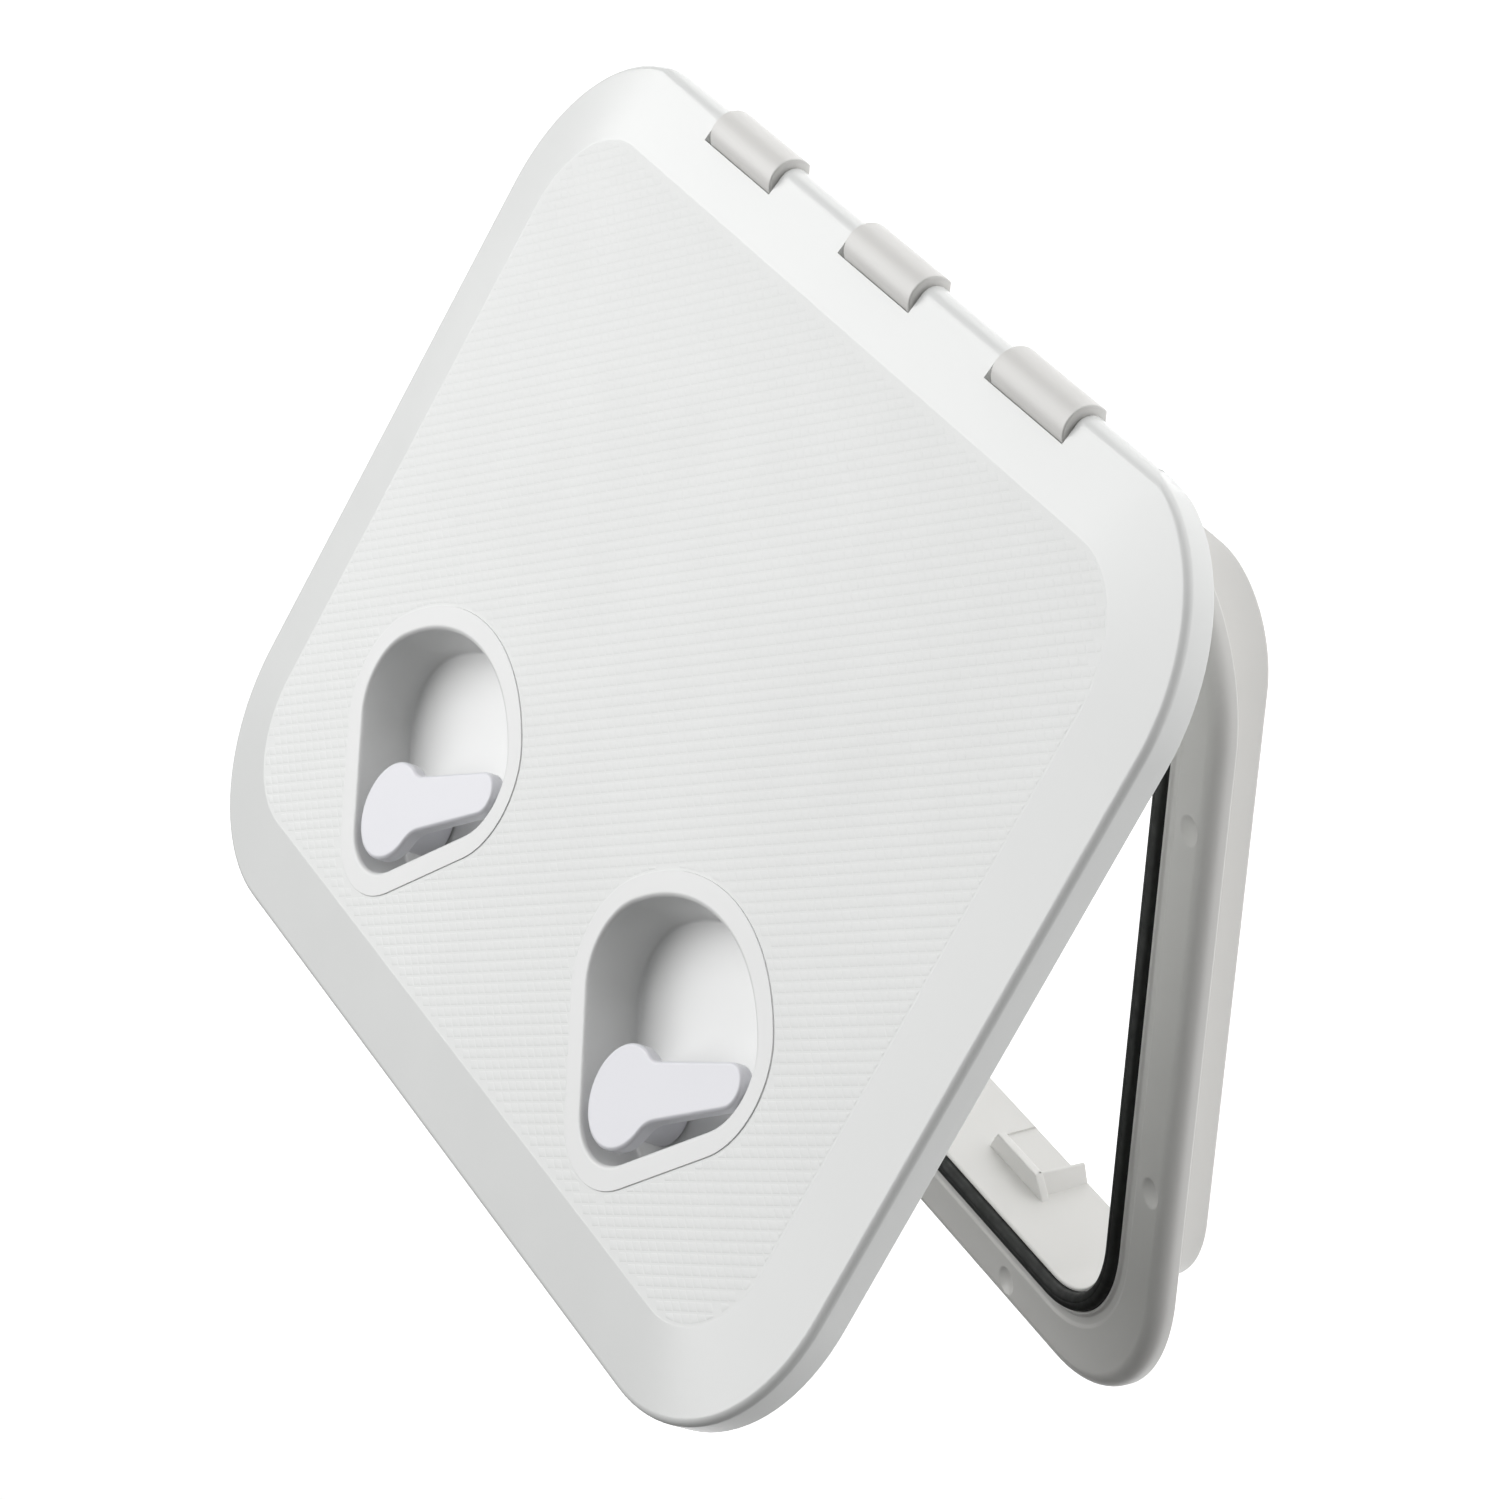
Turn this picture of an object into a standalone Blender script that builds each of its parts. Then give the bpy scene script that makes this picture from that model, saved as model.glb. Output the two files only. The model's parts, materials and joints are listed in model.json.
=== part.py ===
"""Deck hatch, 375 x 270 mm: deck frame, hinged lid and two turning latches.

Sizes are in millimetres and become metres in the meshes. X runs along the hinge,
Y from the latches to the hinge, Z up. Z = 0 is the deck under the frame's flange.
Lid pieces are drawn as if the lid were shut. Their parent empty opens them.
"""

import math

import bmesh
import bpy

MM = 0.001
CORNER_STEPS = 9

# Lid
LID_HALF_X = 187.5
LID_HALF_Y = 135.0
LID_CORNER_R = 56.0
PANEL_Z = 12.8
BORDER_W = 24.0
BORDER_DROP = 3.6
EDGE_R = 2.3
SKIRT_BOTTOM_Z = 0.6
SKIRT_T = 2.5
PLATE_T = 3.0
EDGE_BREAK = 0.4
UNDER_FLAT_IN = 22.3
UNDER_SLOPE_Z = 6.4

# Hinge
HINGE_Y = 130.4
HINGE_Z = 5.2
OPEN_DEG = 27.87
BEAD_R = 4.66
BEAD_COVER = 0.04
BEAD_HALF_X = 136.0
BAR_R = 3.4
SLOT_R = 7.5
SLOT_W = 41.4
SLOT_PITCH = 83.4
HOOK_OUTER_R = 7.0
HOOK_INNER_R = 3.7
HOOK_W = 38.0
HOOK_SHIFT = 1.0
HOOK_END_DEG = 180.0
HOOK_ROOT_Y = 119.0

# Deck frame
FLANGE_HALF_X = 177.9
FLANGE_FRONT_Y = -125.4
FLANGE_BACK_Y = 124.0
FLANGE_CORNER_R = 46.5
FLANGE_TOP_Z = 6.3
FLANGE_EDGE_R = 4.5
SPIGOT_HALF_X = 154.9
SPIGOT_FRONT_Y = -102.4
SPIGOT_BACK_Y = 107.5
SPIGOT_CORNER_R = 28.0
SPIGOT_BOTTOM_Z = -21.9
SPIGOT_WALL = 3.7
WALL_AT_LIP = 1.9
LIP_Z = 5.5
DIMPLE_R = 4.3
DIMPLE_DEPTH = 1.3
DIMPLE_SIDE_X = 169.9
DIMPLE_SIDE_Y = (-49.5, 54.3)
DIMPLE_FRONT_Y = -118.0
DIMPLE_FRONT_X = (-103.5, 0.0, 103.5)
DIMPLE_BACK_Y = 118.6
DIMPLE_BACK_X = (-41.7, 41.7)
DIMPLE_BACK_R = 3.0

# Frame gasket, which stands in a groove just outside the opening
SEAL_HALF_X = 154.05
SEAL_FRONT_Y = -101.55
SEAL_BACK_Y = 106.65
SEAL_CORNER_R = 27.0
GASKET_W = 4.9
GASKET_TOP_Z = 8.4
GASKET_BOTTOM_Z = 4.75
GROOVE_FLOOR_Z = 4.6
SEAL_RIB_Z = 8.7

# Strikers, moulded on the front wall of the frame: a shelf, a stop fin and a shallow relief.
# Values of x count from the latch's pivot.
STRIKER_ROOT_Y = -101.2
STRIKER_REACH_Y = -94.0
SHELF_ROOT_X = (-13.8, 18.7)
SHELF_EDGE_X = (-9.6, 12.6)
SHELF_Z = (-8.8, -6.3)
FIN_ROOT_X = (10.9, 15.8)
FIN_EDGE_X = (11.2, 12.5)
FIN_Z = (-21.7, -7.5)
RELIEF_X = (-15.4, 14.6)
RELIEF_DEPTH = 0.5

# Latches
PIVOT_X = 80.0
PIVOT_Y = -79.5
RIM_PROUD = 0.3
RIM_W = 7.0
CUP_FLOOR_Z = -2.7
CUP_UNDER_Z = -4.7
POCKET_Z = 11.3
GUIDE_R = 9.5
GUIDE_BORE_R = 6.3
GUIDE_END_Z = -7.3
LEVER_TOP_Z = 14.0
LEVER_T = 4.0
BOSS_R = 14.2
TIP_X = 36.2
TIP_Y = 24.9
TIP_R = 6.2
HUB_R = 9.5
HUB_END_Z = -2.1
SPINDLE_R = 6.0
SPINDLE_SQUARE = 4.0
SOCKET_SQUARE = 4.2
O_RING_Z = -4.9
WEAR_WASHER_Z = (-8.8, -7.6)
CAM_WASHER_Z = (-13.3, -12.3)
CAM_Z = (-12.1, -9.0)
CAM_REACH = 18.0
CAM_HALF_W = 6.0
CAM_NOSE = 11.0
CAM_HUB_R = 8.6
HOUSING_SCREWS = ((-27.8, -3.8), (27.8, -3.8), (-33.9, 46.8), (33.9, 46.8))

# Ribs under the lid
RIB_T = 2.0
RIB_BOTTOM_Z = 2.8
LONG_RIB_Y = (-8.0, 32.0, 72.0)
LONG_RIB_HALF_X = 146.0
CROSS_RIB_X = (-109.5, -36.5, 36.5, 109.5)
CROSS_RIB_Y = (-8.0, 98.0)

COLOURS = {
    "white_abs": ((0.82, 0.83, 0.82), 0.25),
    "frame_abs": ((0.80, 0.81, 0.80), 0.3),
    "latch_nylon": ((0.83, 0.83, 0.86), 0.3),
    "seal_rubber": ((0.01, 0.012, 0.01), 0.7),
    "stainless": ((0.6, 0.6, 0.61), 0.3),
}


# ---------------------------------------------------------------- scene set-up


def clear_scene():
    for obj in list(bpy.data.objects):
        bpy.data.objects.remove(obj, do_unlink=True)


def new_collection(name):
    collection = bpy.data.collections.new(name)
    bpy.context.scene.collection.children.link(collection)
    return collection


def material_for(name, colour_name):
    colour, roughness = COLOURS[colour_name]
    material = bpy.data.materials.new(name)
    material.use_nodes = True
    shader = material.node_tree.nodes["Principled BSDF"]
    shader.inputs["Base Color"].default_value = (*colour, 1.0)
    shader.inputs["Roughness"].default_value = roughness
    if colour_name == "stainless":
        shader.inputs["Metallic"].default_value = 1.0
    return material


def make_empty(name, location, parent=None):
    empty = bpy.data.objects.new(name, None)
    empty.location = [value * MM for value in location]
    empty.parent = parent
    PARTS.objects.link(empty)
    return empty


def make_object(name, points, faces, place, colour_name=None):
    """A closed mesh object. With a colour it is a part, without one it is a cutter."""
    mesh = bpy.data.meshes.new(name)
    mesh.from_pydata([[value * MM for value in point] for point in points], [], faces)
    work = bmesh.new()
    work.from_mesh(mesh)
    bmesh.ops.recalc_face_normals(work, faces=work.faces)
    if work.calc_volume(signed=True) < 0:
        bmesh.ops.reverse_faces(work, faces=work.faces)
    work.to_mesh(mesh)
    work.free()
    obj = bpy.data.objects.new(name, mesh)
    parent, location = place
    obj.parent = parent
    obj.location = [value * MM for value in location]
    if colour_name is None:
        obj.hide_render = True
        obj.display_type = "WIRE"
        CUTTERS.objects.link(obj)
        return obj
    PARTS.objects.link(obj)
    mesh.materials.append(material_for(name, colour_name))
    mesh.shade_smooth()
    mesh.set_sharp_from_angle(angle=math.radians(35))
    return obj


def boolean(obj, other, operation):
    modifier = obj.modifiers.new(operation.lower() + "_" + other.name, "BOOLEAN")
    modifier.operation = operation
    modifier.solver = "EXACT"
    modifier.object = other


# ---------------------------------------------------------------- shape helpers


def arc(centre_x, centre_y, radius, start_deg, end_deg, steps):
    found = []
    for step in range(steps + 1):
        angle = math.radians(start_deg + (end_deg - start_deg) * step / steps)
        found.append((centre_x + radius * math.cos(angle), centre_y + radius * math.sin(angle)))
    return found


def rounded_rect(half_x, front_y, back_y, radius):
    """Corner arcs of a rounded rectangle, anticlockwise seen from above."""
    corners = (
        (half_x - radius, back_y - radius, 0),
        (radius - half_x, back_y - radius, 90),
        (radius - half_x, front_y + radius, 180),
        (half_x - radius, front_y + radius, 270),
    )
    found = []
    for corner_x, corner_y, start in corners:
        found += arc(corner_x, corner_y, radius, start, start + 90, CORNER_STEPS)
    return found


def ring(half_x, front_y, back_y, radius, z):
    return [(x, y, z) for x, y in rounded_rect(half_x, front_y, back_y, radius)]


def lid_ring(inset, z):
    return ring(LID_HALF_X - inset, inset - LID_HALF_Y, LID_HALF_Y - inset, LID_CORNER_R - inset, z)


def seal_ring(outset, z):
    """A ring that follows the gasket: outset 0 is the gasket's inner side."""
    return ring(
        SEAL_HALF_X + outset,
        SEAL_FRONT_Y - outset,
        SEAL_BACK_Y + outset,
        SEAL_CORNER_R + outset,
        z,
    )


def flange_ring(inset, z):
    return ring(
        FLANGE_HALF_X - inset,
        FLANGE_FRONT_Y + inset,
        FLANGE_BACK_Y - inset,
        FLANGE_CORNER_R - inset,
        z,
    )


def spigot_ring(inset, z):
    return ring(
        SPIGOT_HALF_X - inset,
        SPIGOT_FRONT_Y + inset,
        SPIGOT_BACK_Y - inset,
        SPIGOT_CORNER_R - inset,
        z,
    )


def loft(rings, closed=False):
    """Joins rings with equal point counts. Open lofts get flat end caps."""
    count = len(rings[0])
    points = [point for one in rings for point in one]
    faces = []
    last = len(rings) if closed else len(rings) - 1
    for level in range(last):
        low = level * count
        high = (level + 1) % len(rings) * count
        for step in range(count):
            beside = (step + 1) % count
            faces.append((low + step, low + beside, high + beside, high + step))
    if not closed:
        faces.append(tuple(reversed(range(count))))
        faces.append(tuple(range(len(points) - count, len(points))))
    return points, faces


def flat_ring(outline, z):
    return [(x, y, z) for x, y in outline]


def circle_ring(radius, z, steps=24):
    return flat_ring(arc(0, 0, radius, 0, 360, steps)[:-1], z)


def square_ring(half, z, steps=24):
    """A square drawn with as many points as circle_ring, so the two can be lofted."""
    found = []
    for step in range(steps):
        angle = math.radians(360 * step / steps)
        reach = half / max(abs(math.cos(angle)), abs(math.sin(angle)))
        found.append((reach * math.cos(angle), reach * math.sin(angle), z))
    return found


def along_x(outline, low_x, high_x):
    """A prism of a (y, z) outline between two values of x."""
    return loft([[(x, y, z) for y, z in outline] for x in (low_x, high_x)])


def joined(shapes):
    points, faces = [], []
    for shape_points, shape_faces in shapes:
        start = len(points)
        points += shape_points
        faces += [tuple(index + start for index in face) for face in shape_faces]
    return points, faces


def box(low, high):
    outline = ((low[1], low[2]), (high[1], low[2]), (high[1], high[2]), (low[1], high[2]))
    return along_x(outline, low[0], high[0])


def dome_cutter(centre_x, centre_y, radius, depth):
    """The lens that cuts a shallow dimple of this radius and depth into the flange top."""
    sphere_r = (radius * radius + depth * depth) / (2 * depth)
    centre_z = FLANGE_TOP_Z - depth + sphere_r
    rings = []
    for share in (0.12, 0.35, 0.6, 0.85, 1.12):
        reach = radius * share
        z = centre_z - math.sqrt(sphere_r * sphere_r - reach * reach)
        circle = arc(centre_x, centre_y, reach, 0, 360, 20)[:-1]
        rings.append(flat_ring(circle, z))
    rings.append(flat_ring(arc(centre_x, centre_y, radius * 1.12, 0, 360, 20)[:-1], FLANGE_TOP_Z + 3))
    return loft(rings)


def recess_outline(offset):
    """The rounded quarter disc of a latch recess around its pivot, grown by offset."""
    side_x, side_y, side_r = 24.9, 25.2, 17.9
    apex_r = 17.7
    top_y, top_r = -1.4, 54.3
    side_deg = 46.9
    tangent_deg = 45.0
    return (
        arc(side_x, side_y, side_r + offset, -tangent_deg, side_deg, 9)
        + arc(0, top_y, top_r + offset, side_deg, 180 - side_deg, 18)[1:-1]
        + arc(-side_x, side_y, side_r + offset, 180 - side_deg, 180 + tangent_deg, 9)
        + arc(0, 0, apex_r + offset, 180 + tangent_deg, 360 - tangent_deg, 9)
    )


def recess_ring(offset, z):
    return flat_ring(recess_outline(offset), z)


def lever_outline(inset):
    """The lever seen from above, shrunk by inset: boss, neck, tip and straight upper edge."""
    neck_x, neck_y, neck_r = 22.74, -4.59, 9.0
    crook_x, crook_y, crook_r = 3.39, 19.91, 6.0
    return (
        arc(0, 0, BOSS_R - inset, 80.3, 348.6, 22)
        + arc(neck_x, neck_y, neck_r + inset, 168.6, 127.5, 6)[1:]
        + arc(TIP_X, TIP_Y, TIP_R - inset, -52.5, 120.2, 10)
        + arc(crook_x, crook_y, crook_r + inset, -59.8, -99.7, 4)
    )


def lever_ring(inset, z):
    return flat_ring(lever_outline(inset), z)


# ---------------------------------------------------------------- deck frame


def make_frame():
    place = (None, (0, 0, 0))
    gasket_gap = 0.15
    rings = [
        spigot_ring(SPIGOT_WALL, SPIGOT_BOTTOM_Z),
        spigot_ring(WALL_AT_LIP, LIP_Z),
        spigot_ring(1.6, 6.0),
        spigot_ring(1.2, 6.1),
        seal_ring(-gasket_gap, 5.9),
        seal_ring(-gasket_gap, GROOVE_FLOOR_Z),
        seal_ring(GASKET_W + gasket_gap, GROOVE_FLOOR_Z),
        seal_ring(GASKET_W + gasket_gap, 6.5),
        seal_ring(GASKET_W + 0.4, 6.7),
        seal_ring(GASKET_W + 1.0, 6.7),
        seal_ring(GASKET_W + 1.5, 5.9),
        seal_ring(GASKET_W + 3.7, 5.9),
        seal_ring(GASKET_W + 4.3, FLANGE_TOP_Z),
    ]
    for degrees in (90, 65, 40, 20, 0):
        angle = math.radians(degrees)
        inset = FLANGE_EDGE_R * (1 - math.cos(angle))
        z = FLANGE_TOP_Z - FLANGE_EDGE_R * (1 - math.sin(angle))
        rings.append(flange_ring(inset, z))
    rings += [
        flange_ring(0.0, 0.3),
        flange_ring(0.3, 0.0),
        spigot_ring(0.0, 0.0),
        spigot_ring(0.0, SPIGOT_BOTTOM_Z + 0.6),
        spigot_ring(0.6, SPIGOT_BOTTOM_Z),
    ]
    frame = make_object("deck_frame", *loft(rings, closed=True), place, "frame_abs")

    hook = (
        [(HOOK_ROOT_Y, 0.0)]
        + arc(HINGE_Y, HINGE_Z, HOOK_OUTER_R, -47.9, HOOK_END_DEG, 20)
        + arc(HINGE_Y, HINGE_Z, HOOK_INNER_R, HOOK_END_DEG, -90, 18)
        + [(HOOK_ROOT_Y, HINGE_Z - HOOK_INNER_R)]
    )
    for number, centre in enumerate((-SLOT_PITCH, 0.0, SLOT_PITCH)):
        low = centre + HOOK_SHIFT - HOOK_W / 2
        shape = along_x(hook, low, low + HOOK_W)
        boolean(frame, make_object(f"hook_{number}", *shape, place), "UNION")

    wall_y = SPIGOT_FRONT_Y + SPIGOT_WALL
    wall_lean = (SPIGOT_WALL - WALL_AT_LIP) / (LIP_Z - SPIGOT_BOTTOM_Z)
    relief_top_y = wall_y - wall_lean * (SHELF_Z[0] - SPIGOT_BOTTOM_Z)
    relief = (
        (wall_y - RELIEF_DEPTH + wall_lean, SPIGOT_BOTTOM_Z - 1.0),
        (wall_y + 3.0, SPIGOT_BOTTOM_Z - 1.0),
        (wall_y + 3.0, SHELF_Z[0]),
        (relief_top_y - RELIEF_DEPTH, SHELF_Z[0]),
    )
    for side, pivot in (("left", -PIVOT_X), ("right", PIVOT_X)):
        shape = along_x(relief, pivot + RELIEF_X[0], pivot + RELIEF_X[1])
        boolean(frame, make_object(f"relief_{side}", *shape, place), "DIFFERENCE")
        for name, root_x, edge_x, levels in (
            ("shelf", SHELF_ROOT_X, SHELF_EDGE_X, SHELF_Z),
            ("fin", FIN_ROOT_X, FIN_EDGE_X, FIN_Z),
        ):
            outline = (
                (pivot + root_x[0], STRIKER_ROOT_Y),
                (pivot + root_x[1], STRIKER_ROOT_Y),
                (pivot + edge_x[1], STRIKER_REACH_Y),
                (pivot + edge_x[0], STRIKER_REACH_Y),
            )
            shape = loft([flat_ring(outline, z) for z in levels])
            boolean(frame, make_object(f"{name}_{side}", *shape, place), "UNION")

    dimples = []
    for side in (-1, 1):
        for y in DIMPLE_SIDE_Y:
            dimples.append((side * DIMPLE_SIDE_X, y, DIMPLE_R))
    for x in DIMPLE_FRONT_X:
        dimples.append((x, DIMPLE_FRONT_Y, DIMPLE_R))
    for x in DIMPLE_BACK_X:
        dimples.append((x, DIMPLE_BACK_Y, DIMPLE_BACK_R))
    shapes = [dome_cutter(x, y, radius, DIMPLE_DEPTH) for x, y, radius in dimples]
    boolean(frame, make_object("dimple_cutter", *joined(shapes), place), "DIFFERENCE")


def make_gasket():
    rings = [
        seal_ring(0.0, GASKET_BOTTOM_Z),
        seal_ring(0.0, GASKET_TOP_Z - 1.2),
        seal_ring(0.5, GASKET_TOP_Z - 0.35),
        seal_ring(1.4, GASKET_TOP_Z),
        seal_ring(GASKET_W - 1.4, GASKET_TOP_Z),
        seal_ring(GASKET_W - 0.5, GASKET_TOP_Z - 0.35),
        seal_ring(GASKET_W, GASKET_TOP_Z - 1.2),
        seal_ring(GASKET_W, GASKET_BOTTOM_Z),
    ]
    make_object("frame_gasket", *loft(rings, closed=True), (None, (0, 0, 0)), "seal_rubber")


# ---------------------------------------------------------------- lid


def make_lid(hinge):
    place = (hinge, (0, -HINGE_Y, -HINGE_Z))
    slope = math.atan2(BORDER_DROP, BORDER_W)
    edge_z = PANEL_Z - BORDER_DROP
    fillet_z = edge_z - EDGE_R * math.tan((math.pi / 2 - slope) / 2)
    under_z = PANEL_Z - PLATE_T
    rings = [
        lid_ring(SKIRT_T, SKIRT_BOTTOM_Z),
        lid_ring(EDGE_BREAK, SKIRT_BOTTOM_Z),
        lid_ring(0.0, SKIRT_BOTTOM_Z + EDGE_BREAK),
    ]
    for step in range(5):
        angle = (math.pi / 2 - slope) * step / 4
        inset = EDGE_R * (1 - math.cos(angle))
        rings.append(lid_ring(inset, fillet_z + EDGE_R * math.sin(angle)))
    rings.append(lid_ring(BORDER_W, PANEL_Z))
    rings.reverse()
    seal_edges = (-0.6, GASKET_W + 0.6)
    rings += [
        lid_ring(SKIRT_T, UNDER_SLOPE_Z),
        lid_ring(UNDER_FLAT_IN, under_z),
        seal_ring(seal_edges[1], under_z),
        seal_ring(seal_edges[1], SEAL_RIB_Z),
        seal_ring(seal_edges[0], SEAL_RIB_Z),
        seal_ring(seal_edges[0], under_z),
    ]
    lid = make_object("lid", *loft(rings), place, "white_abs")

    ribs = [
        box(
            (-LONG_RIB_HALF_X, y - RIB_T / 2, RIB_BOTTOM_Z),
            (LONG_RIB_HALF_X, y + RIB_T / 2, under_z + 0.8),
        )
        for y in LONG_RIB_Y
    ]
    boolean(lid, make_object("long_rib_union", *joined(ribs), place), "UNION")
    ribs = [
        box(
            (x - RIB_T / 2, CROSS_RIB_Y[0], RIB_BOTTOM_Z + 0.4),
            (x + RIB_T / 2, CROSS_RIB_Y[1], under_z + 0.6),
        )
        for x in CROSS_RIB_X
    ]
    boolean(lid, make_object("cross_rib_union", *joined(ribs), place), "UNION")

    for side, x in (("left", -PIVOT_X), ("right", PIVOT_X)):
        latch_place = (hinge, (x, PIVOT_Y - HINGE_Y, -HINGE_Z))
        hole = loft(
            [
                recess_ring(1.9, 5.0),
                recess_ring(1.9, POCKET_Z),
                recess_ring(RIM_W + 0.2, POCKET_Z),
                recess_ring(RIM_W + 0.2, 20.0),
            ]
        )
        boolean(lid, make_object(f"latch_hole_{side}", *hole, latch_place), "DIFFERENCE")
        holes = [
            loft([flat_ring(arc(sx, sy, 2.3, 0, 360, 12)[:-1], z) for z in (8.0, 11.8)])
            for sx, sy in HOUSING_SCREWS
        ]
        boolean(lid, make_object(f"screw_holes_{side}", *joined(holes), latch_place), "DIFFERENCE")

    tangent_deg = 90 - math.degrees(slope)
    outside = (
        arc(HINGE_Y, HINGE_Z, 30.0, tangent_deg, tangent_deg, 1)[:1]
        + arc(HINGE_Y, HINGE_Z, BEAD_R, tangent_deg, -90, 15)
        + [(HINGE_Y, -10.0), (HINGE_Y + 20.0, -10.0), (HINGE_Y + 20.0, 30.0)]
    )
    behind = along_x(outside, -LID_HALF_X - 5, LID_HALF_X + 5)
    boolean(lid, make_object("behind_hinge_cutter", *behind, place), "DIFFERENCE")
    outline = arc(HINGE_Y, HINGE_Z, BEAD_R - BEAD_COVER, 0, 360, 32)[:-1]
    bead = along_x(outline, -BEAD_HALF_X, BEAD_HALF_X)
    boolean(lid, make_object("bead_union", *bead, place), "UNION")

    tubes = []
    for centre in (-SLOT_PITCH, 0.0, SLOT_PITCH):
        outer = arc(HINGE_Y, HINGE_Z, SLOT_R, 0, 360, 32)[:-1]
        bore = arc(HINGE_Y, HINGE_Z, BAR_R, 0, 360, 32)[:-1]
        low, high = centre - SLOT_W / 2, centre + SLOT_W / 2
        corners = ((outer, low), (outer, high), (bore, high), (bore, low))
        tubes.append(loft([[(x, y, z) for y, z in outline] for outline, x in corners], closed=True))
    boolean(lid, make_object("slot_cutter", *joined(tubes), place), "DIFFERENCE")


# ---------------------------------------------------------------- latches


def make_housing(side, place):
    rim_z = PANEL_Z + RIM_PROUD
    under_rim_z = POCKET_Z + 0.1
    rings = [
        recess_ring(-3.0, CUP_UNDER_Z),
        recess_ring(-1.6, CUP_UNDER_Z + 1.3),
        recess_ring(1.3, under_rim_z),
        recess_ring(RIM_W - 0.1, under_rim_z),
        recess_ring(RIM_W, under_rim_z + 0.1),
        recess_ring(RIM_W, rim_z - 0.3),
        recess_ring(RIM_W - 0.3, rim_z),
        recess_ring(1.4, rim_z),
        recess_ring(0.85, rim_z - 0.1),
        recess_ring(0.4, rim_z - 0.4),
        recess_ring(0.1, rim_z - 0.85),
        recess_ring(0.0, rim_z - 1.4),
        recess_ring(-2.0, CUP_FLOOR_Z + 1.3),
        recess_ring(-2.15, CUP_FLOOR_Z + 0.7),
        recess_ring(-2.5, CUP_FLOOR_Z + 0.25),
        recess_ring(-3.2, CUP_FLOOR_Z),
    ]
    name = f"latch_housing_{side}"
    housing = make_object(name, *loft(rings), place, "white_abs")
    guide = loft([circle_ring(GUIDE_R, z, 32) for z in (GUIDE_END_Z, CUP_UNDER_Z + 1.0)])
    boolean(housing, make_object(f"guide_{side}", *guide, place), "UNION")
    bosses = [
        loft([flat_ring(arc(sx, sy, 2.1, 0, 360, 12)[:-1], z) for z in (9.9, 12.0)])
        for sx, sy in HOUSING_SCREWS
    ]
    boolean(housing, make_object(f"bosses_{side}", *joined(bosses), place), "UNION")
    bore = loft([circle_ring(GUIDE_BORE_R, z, 32) for z in (GUIDE_END_Z - 2, 3.0)])
    boolean(housing, make_object(f"bore_cutter_{side}", *bore, place), "DIFFERENCE")
    pilots = [
        loft([flat_ring(arc(sx, sy, 1.3, 0, 360, 10)[:-1], z) for z in (8.0, 12.6)])
        for sx, sy in HOUSING_SCREWS
    ]
    boolean(housing, make_object(f"pilot_cutter_{side}", *joined(pilots), place), "DIFFERENCE")


def make_housing_screws(side, hinge, pivot_x):
    for number, (x, y) in enumerate(HOUSING_SCREWS, 1):
        place = (hinge, (pivot_x + x, PIVOT_Y + y - HINGE_Y, -HINGE_Z))
        rings = [
            circle_ring(1.7, 7.9, 16),
            circle_ring(2.5, 8.6, 16),
            circle_ring(2.6, 9.7, 16),
            circle_ring(1.1, 9.7, 16),
            circle_ring(1.1, 12.2, 16),
            circle_ring(0.5, 12.5, 16),
        ]
        make_object(f"housing_screw_{side}_{number}", *loft(rings), place, "stainless")


def make_handle(side, place):
    low_z = LEVER_TOP_Z - LEVER_T
    rings = [
        lever_ring(0.4, low_z),
        lever_ring(0.0, low_z + 0.4),
        lever_ring(0.0, LEVER_TOP_Z - 0.9),
        lever_ring(0.26, LEVER_TOP_Z - 0.26),
        lever_ring(0.9, LEVER_TOP_Z),
    ]
    handle = make_object(f"handle_{side}", *loft(rings), place, "latch_nylon")
    hub = loft([circle_ring(HUB_R, z, 32) for z in (HUB_END_Z, low_z + 1.0)])
    boolean(handle, make_object(f"hub_{side}", *hub, place), "UNION")
    half = SOCKET_SQUARE
    socket = box((-half, -half, HUB_END_Z - 3), (half, half, 6.6))
    boolean(handle, make_object(f"socket_cutter_{side}", *socket, place), "DIFFERENCE")


def make_spindle(side, place):
    rings = [
        square_ring(SPINDLE_SQUARE - 0.3, 6.3),
        square_ring(SPINDLE_SQUARE, 6.0),
        square_ring(SPINDLE_SQUARE, -2.3),
        circle_ring(SPINDLE_R, -2.4),
        circle_ring(SPINDLE_R, O_RING_Z + 1.3),
        circle_ring(4.6, O_RING_Z + 1.3),
        circle_ring(4.6, O_RING_Z - 1.3),
        circle_ring(SPINDLE_R, O_RING_Z - 1.3),
        circle_ring(SPINDLE_R, WEAR_WASHER_Z[0]),
        square_ring(SPINDLE_SQUARE, WEAR_WASHER_Z[0]),
        square_ring(SPINDLE_SQUARE, CAM_Z[0] + 0.2),
        circle_ring(1.7, CAM_Z[0] + 0.2),
        circle_ring(1.7, -3.1),
    ]
    make_object(f"spindle_{side}", *loft(rings), place, "stainless")


def make_o_ring(side, place):
    middle_r, cord_r = 5.42, 0.76
    rings = []
    for step in range(10):
        angle = math.radians(36 * step)
        radius = middle_r + cord_r * math.cos(angle)
        rings.append(circle_ring(radius, O_RING_Z + cord_r * math.sin(angle)))
    make_object(f"spindle_o_ring_{side}", *loft(rings, closed=True), place, "seal_rubber")


def make_washer(name, bore_r, outer_r, low_z, high_z, place, colour_name):
    rings = [
        circle_ring(bore_r, low_z),
        circle_ring(outer_r, low_z),
        circle_ring(outer_r, high_z),
        circle_ring(bore_r, high_z),
    ]
    make_object(name, *loft(rings, closed=True), place, colour_name)


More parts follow.
